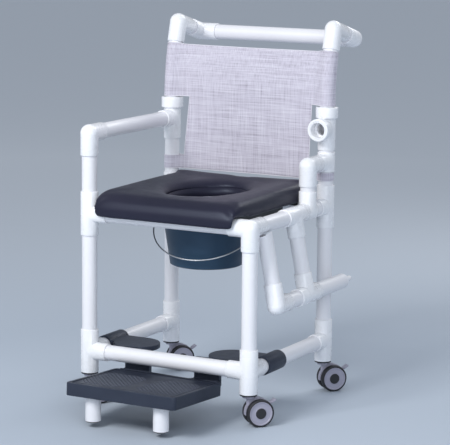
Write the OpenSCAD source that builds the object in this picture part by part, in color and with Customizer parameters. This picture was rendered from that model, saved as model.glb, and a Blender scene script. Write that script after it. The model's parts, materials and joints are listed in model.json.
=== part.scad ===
// Wheeled shower commode chair of white plastic pipe, with a drop arm, a sliding footrest and a pail.
// Millimetres, +Z up, the sitter faces -Y. The origin is on the floor, under the middle of the whole part.

/* [Frame] */
// Distance between the left and right post axes
frame_w = 497; // [470:1:560]
// Distance between the front and rear post axes
frame_d = 451; // [440:1:500]
// Height of the base rail axes
base_z = 149; // [147:1:165]
// Height of the seat rail axes
seat_z = 533; // [500:1:580]
// Height of the arm tube axes above the seat rail axes
arm_rise = 219; // [205:1:240]

/* [Pipe and fittings] */
// Outside diameter of the pipe
pipe_d = 42.2; // [38:0.1:44]
// Wall of the pipe
pipe_wall = 3.6; // [2.5:0.1:5]
// Wall of a fitting round its socket
fit_wall = 3.4; // [2.5:0.1:4]
// Depth of a fitting's socket
socket_depth = 31; // [24:1:33]
// Centre of a fitting to its mouth
reach = 60; // [58:1:62]
// Centre of a handle elbow to its mouth
elbow_reach = 58; // [56:1:62]
// Radial gap between a pipe and its socket
fit_gap = 0.1; // [0.05:0.01:0.1]
// Outside diameter of a strengthening collar
collar_d = 63; // [58:1:68]
// Height of a strengthening collar
collar_h = 31; // [24:1:33]

/* [Back and push handle] */
// Height above the arm axes where the back posts start to bend
bend_rise = 72; // [68:1:90]
// Bend radius of a back post
bend_r = 580; // [500:5:700]
// Bend angle of a back post
bend_deg = 14.5; // [8:0.5:18]
// Distance from a post's top elbow to the push bar
handle_depth = 136; // [128:1:160]
// Thickness of the sling's cloth
sling_t = 1.6; // [1:0.1:3]
// Distance from a post axis to the sling's pocket seam
pocket_w = 48; // [40:1:60]
// Bottom edge of the sling above the seat rail axes
sling_low = 68; // [66:1:76]

/* [Brace] */
// Height of the brace elbow above the seat rail axes
brace_rise = 125; // [118:1:128]
// Height of the short tee on the post
brace_tee_h = 55; // [50:1:58]
// Centre of the brace elbow to its mouth
brace_reach = 55; // [54:1:58]

/* [Drop arm] */
// Distance from the front post axis back to the arm's front leg
front_leg_gap = 72.5; // [68:0.5:85]
// Length of the arm tube past the rear post axis
arm_over = 26.5; // [22:0.5:60]
// Diameter of the locking peg
peg_d = 16; // [10:1:24]
// Length of the locking peg past the tube
peg_l = 50; // [20:1:60]
// Gap at the arm's stop on the rear post
stop_gap = 0.6; // [0.4:0.1:2]

/* [Seat] */
// Distance from a side post axis to the side of the seat pad
seat_margin = 26.5; // [25.5:0.5:40]
// Front of the seat pad ahead of the front rail axis
seat_front = 40.5; // [39:0.5:50]
// Distance from the rear post axes to the rear edge of the seat pad
seat_back_gap = 13.5; // [10:0.5:30]
// Top of the pad above the seat rail axes
seat_top = 65; // [56:1:75]
// Depth of the front skirt's lip below the seat rail axes
skirt_drop = 5; // [0:1:14]
// Width of the opening
hole_w = 202; // [160:1:206]
// Length of the opening
hole_l = 272; // [220:1:280]
// Thickness of the seat board
board_t = 10; // [6:0.5:14]

/* [Pail] */
// Place of the pail's axis
pail_y = -12; // [-25:1:0]
// Radius of the pail under its rim
pail_r = 120; // [110:1:124]
// Radius of the pail's foot
pail_foot_r = 104; // [90:1:108]
// Height of the pail
pail_h = 127; // [100:1:180]
// Radius of the pail's rim
rim_r = 140; // [132:1:141]
// Radius of the wire bail's loop
bail_r = 150; // [148:1:156]
// Diameter of the bail's wire
wire_d = 4; // [3:0.5:6]
// Slope of the hanging bail below level
bail_dip = 33; // [25:1:45]
// Turn of the bail's axis about the pail's axis
bail_turn = 10; // [0:1:15]

/* [Footrest] */
// Width of the tray
tray_w = 334; // [306:1:338]
// Front edge of the tray ahead of the front post axes
tray_front = 252; // [225:1:270]
// Length of the tray
tray_l = 257; // [225:1:262]
// Slope of the tray, heels lower than toes
tray_tilt = 3.2; // [0:0.1:4]
// Top of the tray's front edge above the floor
tray_z = 122; // [112:1:125]
// Height of the tray's wall
tray_h = 35; // [28:1:45]
// Length of the sleeves on the side rails
sleeve_l = 98; // [85:1:110]
// Distance between the two legs
leg_gap = 208; // [180:1:230]
// Height of the legs above the floor
leg_lift = 15; // [8:1:30]

/* [Casters] */
// Diameter of a caster wheel
wheel_d = 75; // [70:1:77]
// Width of one wheel of a pair
wheel_w = 17; // [14:1:20]
// Distance from the swivel axis to the axle
trail = 28; // [22:1:30]
// Direction in which the casters trail
trail_deg = 48; // [0:1:90]
// Width of the hood's web between the wheels
hood_w = 13; // [11:1:16]

/* [Hidden] */
$fn = 48;
PVC = [0.93, 0.94, 0.97];
CHARCOAL = [0.25, 0.24, 0.29];
MESH = [0.83, 0.82, 0.88];
SLATE = [0.27, 0.32, 0.41];
GREY = [0.66, 0.65, 0.74];
BLACK = [0.10, 0.10, 0.12];
STEEL = [0.72, 0.73, 0.75];

// Turns that point +Z along an axis
TO_X = [0, 90, 0];
TO_NX = [0, -90, 0];
TO_Y = [-90, 0, 0];
TO_NY = [90, 0, 0];
TO_Z = [0, 0, 0];
TO_NZ = [180, 0, 0];
SIDES = [-1, 1];

hx = frame_w / 2;
hy = frame_d / 2;
arm_z = seat_z + arm_rise;
pipe_r = pipe_d / 2;
bore_r = pipe_r - pipe_wall;
socket_r = pipe_r + fit_gap;
fit_r = socket_r + fit_wall;
// Each further branch of a fitting is this much thinner, so that no two walls coincide
branch_step = 0.2;
ball_extra = 0.3;
end_gap = 0.2;
stop = reach - socket_depth + end_gap;
elbow_stop = elbow_reach - socket_depth + end_gap;
soft_gap = 0.3;
over = 1;

// Brace between the rear post and the right seat rail
brace_z = seat_z + brace_rise;
brace_branch = 59;
saddle_half = 24.8;
saddle_branch = 56;
brace_y = hy - brace_branch - brace_reach - end_gap;

// Drop arm: it leans out until its tube rests on the rear post
arm_r = arm_rise;
arm_lean = asin((pipe_d + stop_gap) / arm_r);
pivot_y = brace_y - saddle_half - stop_gap - reach;
cope_r = fit_r + 4;
front_leg_y = -hy + front_leg_gap;
// The arm's lower fittings keep clear of each other in a short frame
arm_fit = min(reach, (pivot_y - front_leg_y - stop_gap) / 2);
arm_stop = arm_fit - socket_depth + end_gap;
arm_end_y = hy + arm_over;
peg_plug_l = 30;

// Back posts and handle
bend_z = arm_z + bend_rise;
bend_y = hy + bend_r * (1 - cos(bend_deg));
// The straight ends reach a little way into the bend, thinner by a hair
bend_step = 0.03;
bend_lap = 3;
top_y = bend_y + elbow_reach * sin(bend_deg);
top_z = bend_z + bend_r * sin(bend_deg) + elbow_reach * cos(bend_deg);
bar_y = top_y + handle_depth * cos(bend_deg);
bar_z = top_z - handle_depth * sin(bend_deg);

// Sling
sling_in = pipe_r + soft_gap;
sling_out = sling_in + sling_t;
sling_z = seat_z + sling_low;
band_top = seat_z + brace_rise - brace_tee_h / 2 - 2;
left_band_top = band_top + 15;
notch_top = arm_z + reach + 4;
sling_arc = bend_deg - 0.6;
notch_taper = 8;

// Seat
clip_gap = 0.15;
clip_wall = 3.7;
clip_r = pipe_r + clip_gap + clip_wall;
clip_w = 40;
clip_x = hx - reach - clip_w + 3.5;
clip_open = 82;
clip_tongue = 58;
clip_tongue_t = 4;
board_z = seat_z + clip_r + 0.1;
seat_w = frame_w - 2 * seat_margin;
seat_rear = hy - seat_back_gap;
board_half = seat_w / 2 - 24;
board_front = hy + 11;
board_rear = seat_rear - 19;
board_corner = 52;
board_gap = 2.5;
board_rim = 4;
hole_y = -8;
pad_front = hy + seat_front;
pad_y = (seat_rear - pad_front) / 2;
pad_half_l = (seat_rear + pad_front) / 2;
pad_low = board_z + 0.2;
recess_z = board_z + board_t + soft_gap;
side_drop = 7;
corner_power = 18;
pad_n = 80;

// Pail and its rails
lip_t = 3.7;
lip_z = seat_z - 32;
rim_z = lip_z + lip_t + soft_gap;
rim_t = 4;
pail_wall = 2.6;
pail_z = rim_z + rim_t - pail_h;
foot_h = 20;
foot_step = 2.5;
rail_x = rim_r + 2.5;
rail_t = 3;
lip_w = 22;
rail_rear = hy - clip_tongue - 3;
rail_front = max(pail_y - rim_r + 2, -rail_rear);
rail_flange = 18;
wire_r = wire_d / 2;
ear_r = 5;
ear_out = rim_r + 1;
bail_z = lip_z - ear_r - 1;
pin_gap = 0.1;
pin_in = pail_r + 2;

// Footrest
tray_wall = 5;
deck_t = 7;
deck_sink = 1.6;
rim_w = 12;
tray_corner = 12;
tray_front_y = -hy - tray_front;
arm_in = 68;
arm_out = 150;
arm_t = 14;
arm_sink = 0.4;
gap_round = 18;
riser_front = -hy + pipe_r + 0.8;
riser_t = 12;
riser_in = 2;
plate_front = riser_front + 3;
plate_top = base_z + 16;
plate_t = 14;
plate_in = 86;
plate_l = 155.5;
plate_rear = -hy + plate_l;
plate_out = hx - reach - 4;
link_in = plate_out - 4;
sleeve_wall = 5;
sleeve_front = -hy + reach + 13.5;
leg_inset = 39;
leg_y = tray_front_y + leg_inset;
deck_low = tray_z - deck_sink - deck_t - (leg_inset + pipe_r) * sin(tray_tilt);
leg_top = deck_low - end_gap;
boss_h = 22;
boss_wall = 4;
plug_l = 18;
plug_flange = 3;

// Casters
wheel_r = wheel_d / 2;
tyre_t = 5.5;
disc_r = wheel_r - tyre_t;
tyre_gap = 0.02;
axle_r = 4;
run_gap = 0.05;
wheel_in = hood_w / 2 + 0.6;
wheel_out = wheel_in + wheel_w;
cap_r = 14.5;
cap_t = 2.2;
hood_r = wheel_r + 1.2;
stem_r = 5.5;
stem_l = 28;
neck_r = 16;
insert_flange = 4;
insert_z = base_z - reach - insert_flange;
neck_top = insert_z - soft_gap;
neck_z = wheel_r + 14;
neck_t = 6;
brake_r = 3;
brake_w = 7;
brake_reach = 27;
pad_w = 18;
pad_t = 3.4;
brake_lift = 34;
brake_slot_gap = 0.3;
CORNERS = [["fl", -1, -1], ["fr", 1, -1], ["rl", -1, 1], ["rr", 1, 1]];

// The part is shifted so that the middle of its box stands over the origin
box_left = -hx - collar_d / 2;
box_right = hx + arm_r * sin(arm_lean) + fit_r + ball_extra;
box_front = tray_front_y - tray_h * sin(tray_tilt);
box_rear = bar_y + fit_r + ball_extra;
mid_x = (box_left + box_right) / 2;
mid_y = (box_front + box_rear) / 2;

// Points of an arc, for turned outlines
function arc(cx, cy, r, a0, a1, n) =
    [for (i = [0:n]) [cx + r * cos(a0 + (a1 - a0) * i / n), cy + r * sin(a0 + (a1 - a0) * i / n)]];
function clamp01(v) = min(1, max(0, v));
function smooth(v) = let(c = clamp01(v)) c * c * (3 - 2 * c);

module place() {
    translate([-mid_x, -mid_y, 0]) children();
}

// Hollow pipe from the origin along +Z
module pipe(length) {
    difference() {
        cylinder(r = pipe_r, h = length);
        translate([0, 0, -over]) cylinder(r = bore_r, h = length + 2 * over);
    }
}

// Pipe between two heights, lengthwise places or widths
module pipe_z(x, y, z0, z1) {
    translate([x, y, z0]) pipe(z1 - z0);
}
module pipe_y(x, z, y0, y1) {
    translate([x, y0, z]) rotate(TO_Y) pipe(y1 - y0);
}
module pipe_x(y, z, x0, x1) {
    translate([x0, y, z]) rotate(TO_X) pipe(x1 - x0);
}

// Fitting with a straight run and side branches, every mouth a pipe socket
module tee(run, branches, half = reach) {
    difference() {
        union() {
            rotate(run) translate([0, 0, -half]) cylinder(r = fit_r, h = 2 * half);
            for (i = [0:len(branches) - 1])
                rotate(branches[i]) cylinder(r = fit_r - branch_step * (i + 1), h = reach);
        }
        rotate(run) translate([0, 0, -half - over]) cylinder(r = bore_r, h = 2 * (half + over));
        for (s = [0, 180])
            rotate(run) rotate([s, 0, 0]) translate([0, 0, half - socket_depth])
                cylinder(r = socket_r, h = socket_depth + over);
        for (i = [0:len(branches) - 1])
            rotate(branches[i]) {
                cylinder(r = bore_r - branch_step * (i + 1), h = reach);
                translate([0, 0, reach - socket_depth]) cylinder(r = socket_r, h = socket_depth + over);
            }
    }
}

// Corner fitting whose arms all start from one ball
module corner(arms, length) {
    difference() {
        union() {
            sphere(r = fit_r + ball_extra);
            for (i = [0:len(arms) - 1])
                rotate(arms[i]) cylinder(r = fit_r - branch_step * i, h = length);
        }
        for (i = [0:len(arms) - 1])
            rotate(arms[i]) {
                cylinder(r = bore_r - branch_step * i, h = length);
                translate([0, 0, length - socket_depth]) cylinder(r = socket_r, h = socket_depth + over);
            }
    }
}

// Tee whose run slides on a pipe that passes right through it
module slip_tee(run, half, branch, branch_reach) {
    difference() {
        union() {
            rotate(run) translate([0, 0, -half]) cylinder(r = fit_r, h = 2 * half);
            rotate(branch) cylinder(r = fit_r - branch_step, h = branch_reach);
        }
        rotate(run) translate([0, 0, -half - over]) cylinder(r = socket_r, h = 2 * (half + over));
        rotate(branch) {
            cylinder(r = bore_r, h = branch_reach);
            translate([0, 0, branch_reach - socket_depth])
                cylinder(r = socket_r, h = socket_depth + over);
        }
    }
}

// Base
module base_corner_fittings() {
    color(PVC) place() for (s = SIDES) translate([s * hx, -hy, base_z])
        tee(TO_Z, [s < 0 ? TO_X : TO_NX, TO_Y]);
}
module base_rear_tees() {
    color(PVC) place() for (s = SIDES) translate([s * hx, hy, base_z]) tee(TO_Z, [TO_NY]);
}
module base_front_rail() {
    color(PVC) place() pipe_x(-hy, base_z, -hx + stop, hx - stop);
}
module base_side_rails() {
    color(PVC) place() for (s = SIDES) pipe_y(s * hx, base_z, -hy + stop, hy - stop);
}
module lower_posts() {
    color(PVC) place() for (s = SIDES, e = SIDES) pipe_z(s * hx, e * hy, base_z + stop, seat_z - stop);
}

// Seat frame
module seat_left_fitting() {
    color(PVC) place() translate([-hx, -hy, seat_z]) tee(TO_Z, [TO_X, TO_Y]);
}
module seat_right_corner() {
    color(PVC) place() translate([hx, -hy, seat_z]) corner([TO_NZ, TO_NX, TO_Y], reach);
}
module seat_rear_tees() {
    color(PVC) place() for (s = SIDES) translate([s * hx, hy, seat_z])
        tee(TO_Z, [s < 0 ? TO_X : TO_NX, TO_NY]);
}
module seat_cross_rails() {
    color(PVC) place() for (e = SIDES) pipe_x(e * hy, seat_z, -hx + stop, hx - stop);
}
module seat_left_rail() {
    color(PVC) place() pipe_y(-hx, seat_z, -hy + stop, hy - stop);
}
module seat_right_rail() {
    color(PVC) place() pipe_y(hx, seat_z, -hy + stop, hy - stop);
}
module rear_uprights() {
    color(PVC) place() for (s = SIDES) pipe_z(s * hx, hy, seat_z + stop, arm_z - stop);
}

// Fixed left arm
module left_arm_tubes() {
    color(PVC) place() {
        pipe_z(-hx, -hy, seat_z + stop, arm_z - stop);
        pipe_y(-hx, arm_z, -hy + stop, hy - stop);
    }
}
module left_arm_elbow() {
    color(PVC) place() translate([-hx, -hy, arm_z]) corner([TO_NZ, TO_Y], reach);
}
module left_arm_tee() {
    color(PVC) place() translate([-hx, hy, arm_z]) tee(TO_Z, [TO_NY]);
}

// Right post: open socket that takes the raised arm
module arm_socket_tee() {
    color(PVC) place() translate([hx, hy, arm_z]) tee(TO_Z, [TO_NY]);
}

// Rounded ring slipped over a fitting's mouth, from the mouth back
module collar() {
    inner = fit_r + fit_gap;
    outer = collar_d / 2;
    round_r = 3;
    steps = 4;
    rotate_extrude() polygon(concat(
        [[inner, 0]],
        arc(outer - round_r, round_r, round_r, -90, 0, steps),
        arc(outer - round_r, collar_h - round_r, round_r, 0, 90, steps),
        [[inner, collar_h]]));
}
module collars() {
    color(PVC) place() {
        for (s = SIDES) translate([s * hx, hy, arm_z + reach - collar_h]) collar();
        translate([hx, hy - reach + collar_h, arm_z]) rotate(TO_NY) collar();
    }
}

// Brace under the arm socket
module brace_tees() {
    color(PVC) place() {
        translate([hx, hy, brace_z]) slip_tee(TO_Z, brace_tee_h / 2, TO_NY, brace_branch);
        translate([hx, brace_y, seat_z]) slip_tee(TO_Y, saddle_half, TO_Z, saddle_branch);
    }
}
module brace_elbow() {
    color(PVC) place() translate([hx, brace_y, brace_z]) corner([TO_Y, TO_NZ], brace_reach);
}
module brace_tubes() {
    elbow_in = brace_reach - socket_depth + end_gap;
    color(PVC) place() {
        pipe_y(hx, brace_z, brace_y + elbow_in, hy - brace_branch + socket_depth - end_gap);
        pipe_z(hx, brace_y, seat_z + saddle_branch - socket_depth + end_gap, brace_z - elbow_in);
    }
}

// Bent stretch of a post: a ring drawn by the children, swept from the start of the bend
module bent(angle) {
    translate([0, hy + bend_r, bend_z]) rotate([90, 0, -90])
        rotate_extrude(angle = angle, $fn = 180) translate([bend_r, 0]) children();
}
// Frame at a post's top elbow, tilted with the bent post
module at_top() {
    translate([0, top_y, top_z]) rotate([-bend_deg, 0, 0]) children();
}
// Solid of a post's whole course, a little longer at both ends by extra
module post_course(r, extra) {
    translate([0, hy, arm_z + stop - extra])
        cylinder(r = r - bend_step, h = bend_z - arm_z - stop + extra + bend_lap);
    bent(bend_deg) circle(r = r);
    at_top() translate([0, 0, -elbow_reach - bend_lap])
        cylinder(r = r - bend_step, h = elbow_reach - elbow_stop + extra + bend_lap);
}
module back_posts() {
    color(PVC) place() for (s = SIDES) translate([s * hx, 0, 0]) difference() {
        post_course(pipe_r, 0);
        post_course(bore_r, over);
    }
}
module handle_elbows() {
    color(PVC) place() for (s = SIDES) translate([s * hx, 0, 0]) at_top() {
        corner([TO_NZ, TO_Y], elbow_reach);
        translate([0, handle_depth, 0]) corner([TO_NY, s < 0 ? TO_X : TO_NX], elbow_reach);
    }
}
module handle_tubes() {
    color(PVC) place() at_top() {
        for (s = SIDES) pipe_y(s * hx, 0, elbow_stop, handle_depth - elbow_stop);
        pipe_x(handle_depth, 0, -hx + elbow_stop, hx - elbow_stop);
    }
}

// Outline of a sling pocket round a post at the origin, with its seam towards +X
module pocket(r, tip) {
    lean = acos(r / tip);
    circle(r = r);
    polygon([[r * cos(lean), r * sin(lean)], [r * cos(lean), -r * sin(lean)], [tip, 0]]);
}
module pocket_ring(s) {
    rotate(s < 0 ? 0 : 180) difference() {
        pocket(sling_out, pocket_w);
        pocket(sling_in, pocket_w - 2 * sling_t);
    }
}
// The sheet between the seams, as a strip in the plane of a post's bend
module sheet_side() {
    translate([hy - sling_t / 2, sling_z]) square([sling_t, bend_z - sling_z]);
    translate([hy + bend_r, bend_z]) intersection() {
        difference() {
            circle(r = bend_r + sling_t / 2, $fn = 360);
            circle(r = bend_r - sling_t / 2, $fn = 360);
        }
        polygon([[0, 0], [-2 * bend_r, 0], [-2 * bend_r * cos(sling_arc), 2 * bend_r * sin(sling_arc)]]);
    }
}
module sling() {
    seam = hx - pocket_w + 2 * sling_t;
    color(MESH) place() {
        difference() {
            rotate([90, 0, 90]) translate([0, 0, -seam]) linear_extrude(2 * seam) sheet_side();
            for (s = SIDES) notch(s, s < 0 ? left_band_top : band_top);
        }
        for (s = SIDES) translate([s * hx, 0, 0]) {
            translate([0, hy, sling_z]) linear_extrude((s < 0 ? left_band_top : band_top) - sling_z)
                pocket_ring(s);
            translate([0, hy, notch_top]) linear_extrude(bend_z - notch_top) pocket_ring(s);
            bent(sling_arc) rotate(-90) pocket_ring(s);
        }
    }
}
// Slot beside an arm tee where the pocket is cut away
module notch(s, low) {
    edge = hx - pocket_w;
    translate([0, hy + pipe_d, 0]) rotate([90, 0, 0]) linear_extrude(2 * pipe_d)
        polygon([[s * edge, low], [s * (edge - notch_taper), notch_top], [s * hx, notch_top], [s * hx, low]]);
}

// Seat board, clips and pad
module oval(w, l) {
    translate([0, hole_y]) resize_oval(w / 2, l / 2);
}
// Oval of two round ends and two long sides, drawn with arcs
module resize_oval(a, b) {
    circle(r = a);
    for (e = SIDES) translate([0, e * (b - a)]) circle(r = a);
    square([2 * a, 2 * (b - a)], center = true);
}
module rounded(x, y0, y1, r) {
    translate([-x, y0 + r]) square([2 * x, y1 - y0 - 2 * r]);
    translate([-x + r, y0]) square([2 * (x - r), y1 - y0]);
    for (s = SIDES, y = [y0 + r, y1 - r]) translate([s * (x - r), y]) circle(r = r);
}
module seat_board() {
    color(CHARCOAL) place() translate([0, 0, board_z]) linear_extrude(board_t) difference() {
        rounded(board_half, -board_front, board_rear, board_corner);
        oval(hole_w + 2 * board_rim, hole_l + 2 * board_rim);
    }
}
module seat_clips() {
    color(BLACK) place() for (s = SIDES, e = SIDES)
        translate([s * clip_x - clip_w / 2, e * hy, seat_z]) rotate([90, 0, 90])
            linear_extrude(clip_w) difference() {
                union() {
                    circle(r = clip_r);
                    translate([e > 0 ? -clip_tongue : 0, clip_r - clip_tongue_t - 0.02])
                        square([clip_tongue, clip_tongue_t]);
                }
                circle(r = pipe_r + clip_gap);
                polygon([[0, 0], [-2 * clip_r * tan(clip_open), -2 * clip_r],
                         [2 * clip_r * tan(clip_open), -2 * clip_r]]);
            }
}

// The pad's rings: each is [outward step from the opening, inward step from the outline, height]
function pad_out(a) =
    let(c = abs(cos(a)) / (seat_w / 2), s = abs(sin(a)) / pad_half_l)
    let(r = 1 / pow(pow(c, corner_power) + pow(s, corner_power), 1 / corner_power))
    [r * cos(a), pad_y + r * sin(a)];
function pad_in(a, grow) = [(hole_w / 2 + grow) * cos(a), hole_y + (hole_l / 2 + grow) * sin(a)];
function inset(p, d) =
    [p[0] * (1 - d / (seat_w / 2)), pad_y + (p[1] - pad_y) * (1 - d / pad_half_l)];
function mix2(p, q, t) = [p[0] + (q[0] - p[0]) * t, p[1] + (q[1] - p[1]) * t];
// The skirt stays ahead of the front fittings
skirt_y = -hy - fit_r - 1.9;
function front_w(p) = smooth((skirt_y - 5 - p[1]) / 3);
function ahead(q, p, d) = p[1] < skirt_y - 0.3 ? [q[0], min(q[1], skirt_y - d)] : q;
function rear_w(p) = smooth((p[1] - seat_rear + 40) / 34);
function roll_w(p) = smooth((50 - pad_front - p[1]) / 46);
function dish(p) = 4 * roll_w(p) * (1 - pow(2 * p[0] / seat_w, 2));
function side_w(p) = smooth((hy - 28 - abs(p[1])) / 24);
function lip(p) = pad_low - side_drop * side_w(p) - (pad_low - seat_z + skirt_drop) * front_w(p);
// Steps round the pad stand closer together at its corners
function closer(a) = a + 11.5 * sin(4 * a);
function up(p, z) = [p[0], p[1], z];
function recess_out(a) =
    let(c = abs(cos(a)) / (board_half + board_gap))
    let(s = abs(sin(a)) / (board_front / 2 + board_rear / 2 + board_gap))
    let(r = 1 / pow(pow(c, corner_power) + pow(s, corner_power), 1 / corner_power))
    [r * cos(a), (board_rear - board_front) / 2 + r * sin(a)];
top_z_pad = seat_z + seat_top;
function pad_ring(j, a) =
    let(o = pad_out(a), f = front_w(o), b = lip(o), r = rear_w(o), g = roll_w(o), d = dish(o))
    j == 0 ? up(pad_in(a, 0), recess_z) :
    j == 1 ? up(pad_in(a, 0), top_z_pad - 25) :
    j == 2 ? up(pad_in(a, 7), top_z_pad - 14) :
    j == 3 ? up(pad_in(a, 20), top_z_pad - 6.5) :
    j == 4 ? up(mix2(pad_in(a, 20), inset(o, 20), 0.35), top_z_pad - 3) :
    j == 5 ? up(mix2(pad_in(a, 20), inset(o, 20), 0.8), top_z_pad - 0.5 + 3 * r - 4 * g - 0.7 * d) :
    j == 6 ? up(inset(o, 17 - 9 * r + 11 * g), top_z_pad - 3.5 + 6.5 * r - 5.5 * g - d) :
    j == 7 ? up(inset(o, 5 - 3 * r + 5 * g), top_z_pad - 12 + 11 * r - 7 * g - 5 * f - 0.5 * d) :
    j == 8 ? up(inset(o, 0.01), top_z_pad - 24 + 14 * r - 18 * f) :
    j == 9 ? up(inset(o, 1.5), b + 7) :
    j == 10 ? up(ahead(inset(o, 5), o, 1.3), b + 0.5) :
    j == 11 ? up(ahead(inset(o, 11), o, 0), b) :
    j == 12 ? up(ahead(inset(o, 13.5), o, -0.6), pad_low) :
    j == 13 ? up(recess_out(a), pad_low) : up(recess_out(a), recess_z);
PAD_RINGS = 15;
module seat_pad() {
    points = [for (j = [0:PAD_RINGS - 1], i = [0:pad_n - 1]) pad_ring(j, closer(360 * (i + 0.5) / pad_n))];
    faces = [for (j = [0:PAD_RINGS - 1], i = [0:pad_n - 1], half = [0, 1])
        let(k = (j + 1) % PAD_RINGS, n = (i + 1) % pad_n)
        half == 0 ? [j * pad_n + i, k * pad_n + i, k * pad_n + n]
                  : [j * pad_n + i, k * pad_n + n, j * pad_n + n]];
    color(CHARCOAL) place() polyhedron(points, faces, convexity = 6);
}

// Rails under the board on which the pail's rim slides
module pail_rails() {
    top = board_z - 0.1;
    color(BLACK) place() for (s = SIDES) translate([0, rail_rear, 0]) rotate([90, 0, 0])
        linear_extrude(rail_rear - rail_front) polygon([
            [s * (rail_x + rail_t - lip_w), lip_z],
            [s * (rail_x + rail_t), lip_z],
            [s * (rail_x + rail_t), top - rail_t],
            [s * (rail_x + rail_flange), top - rail_t],
            [s * (rail_x + rail_flange), top],
            [s * rail_x, top],
            [s * rail_x, lip_z + lip_t],
            [s * (rail_x + rail_t - lip_w), lip_z + lip_t]]);
}

// Pail with a stepped foot, a flat rim and two ears for the bail
module at_bail() {
    translate([0, pail_y, bail_z]) rotate([0, 0, bail_turn]) children();
}
module pail() {
    slope = (pail_r - pail_foot_r) / (pail_h - foot_h);
    color(SLATE) place() difference() {
        union() {
            translate([0, pail_y, pail_z]) rotate_extrude($fn = 96) polygon([
                [0, 0],
                [pail_foot_r - 8, 0],
                [pail_foot_r - foot_step, 3],
                [pail_foot_r - foot_step + slope * 14, foot_h - 2],
                [pail_foot_r, foot_h],
                [pail_r, pail_h - rim_t],
                [rim_r, pail_h - rim_t],
                [rim_r, pail_h],
                [pail_r - pail_wall, pail_h],
                [pail_foot_r - pail_wall, foot_h],
                [pail_foot_r - foot_step - pail_wall, pail_wall + 4],
                [pail_foot_r - 12, pail_wall],
                [0, pail_wall]]);
            at_bail() for (t = [TO_X, TO_NX]) rotate(t) translate([0, 0, pail_r - 4])
                cylinder(r = ear_r, h = ear_out - pail_r + 4);
        }
        at_bail() for (t = [TO_X, TO_NX]) rotate(t) translate([0, 0, pin_in - end_gap])
            cylinder(r = wire_r + pin_gap, h = rim_r);
    }
}
module bail() {
    color(STEEL) place() at_bail() rotate([bail_dip, 0, 0]) {
        rotate([0, 0, 180]) rotate_extrude(angle = 180, $fn = 96) translate([bail_r, 0]) circle(r = wire_r);
        for (t = [TO_X, TO_NX]) rotate(t) translate([0, 0, pin_in]) cylinder(r = wire_r, h = bail_r - pin_in);
        for (s = SIDES) translate([s * bail_r, 0, 0]) sphere(r = wire_r + 0.15);
    }
}

// Drop arm, hung from the right seat rail and leaning out on its stop
module at_arm() {
    translate([hx, 0, seat_z]) rotate([0, -arm_lean, 0]) children();
}
module drop_arm_pivot_tee() {
    color(PVC) place() at_arm() translate([0, pivot_y, 0]) slip_tee(TO_Y, reach, TO_NZ, reach);
}
module drop_arm_lower_tee() {
    color(PVC) place() at_arm() translate([0, pivot_y, -arm_r]) tee(TO_Y, [TO_Z], arm_fit);
}
module drop_arm_elbow() {
    color(PVC) place() at_arm() translate([0, front_leg_y, -arm_r]) corner([TO_Z, TO_Y], arm_fit);
}
module drop_arm_legs() {
    color(PVC) place() at_arm() {
        pipe_z(0, pivot_y, -arm_r + stop, -stop);
        difference() {
            pipe_z(0, front_leg_y, -arm_r + arm_stop, 0);
            translate([0, front_leg_y - reach, 0]) rotate(TO_Y) cylinder(r = cope_r, h = 2 * reach);
        }
    }
}
module drop_arm_tubes() {
    color(PVC) place() at_arm() {
        pipe_y(0, -arm_r, front_leg_y + arm_stop, pivot_y - arm_stop);
        pipe_y(0, -arm_r, pivot_y + arm_stop, arm_end_y);
    }
}
module drop_arm_peg() {
    color(PVC) place() at_arm() translate([0, arm_end_y, -arm_r]) rotate(TO_Y) {
        translate([0, 0, -peg_plug_l]) cylinder(r = bore_r - fit_gap, h = peg_plug_l);
        cylinder(d = peg_d, h = peg_l - 3);
        translate([0, 0, peg_l - 3]) cylinder(d1 = peg_d, d2 = peg_d - 5, h = 3);
    }
}

// Sliding footrest: tray, arms under the front rail, plates and rail sleeves in one moulding
module tray_shape(shrink) {
    rounded(tray_w / 2 - shrink, shrink, tray_l - shrink, tray_corner - shrink / 2);
}
// Frame at the tray's front top edge
module at_tray() {
    translate([0, tray_front_y, tray_z]) rotate([-tray_tilt, 0, 0]) children();
}
module footrest() {
    color(CHARCOAL) place() difference() {
        union() {
            at_tray() difference() {
                translate([0, 0, -tray_h]) linear_extrude(tray_h) tray_shape(0);
                translate([0, 0, -deck_sink]) linear_extrude(tray_h) tray_shape(rim_w);
                translate([0, 0, -tray_h - over]) linear_extrude(tray_h - deck_sink - deck_t + over)
                    tray_shape(tray_wall);
            }
            for (s = SIDES) {
                translate([s * leg_gap / 2, leg_y, deck_low - boss_h])
                    cylinder(r = socket_r + boss_wall, h = boss_h + deck_t / 2);
                at_tray() translate([0, 0, -arm_sink - arm_t]) tray_arm(s);
                footrest_side(s);
            }
        }
        for (s = SIDES) {
            translate([s * leg_gap / 2, leg_y, deck_low - boss_h - over])
                cylinder(r = socket_r, h = boss_h + over);
            translate([s * hx, sleeve_front - over, base_z]) rotate(TO_Y)
                cylinder(r = socket_r, h = sleeve_l + 2 * over);
        }
    }
}
// Arm that carries the tray on behind its rear edge, with a rounded inner corner
module tray_arm(s) {
    far = (riser_front + riser_t / 2 - tray_front_y) / cos(tray_tilt);
    linear_extrude(arm_t) mirror([s < 0 ? 1 : 0, 0, 0]) {
        translate([arm_in, tray_l - rim_w]) square([arm_out - arm_in, far - tray_l + rim_w]);
        difference() {
            translate([arm_in - gap_round, tray_l - rim_w]) square([gap_round + over, rim_w + gap_round]);
            translate([arm_in - gap_round, tray_l + gap_round]) circle(r = gap_round);
        }
    }
}
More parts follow.
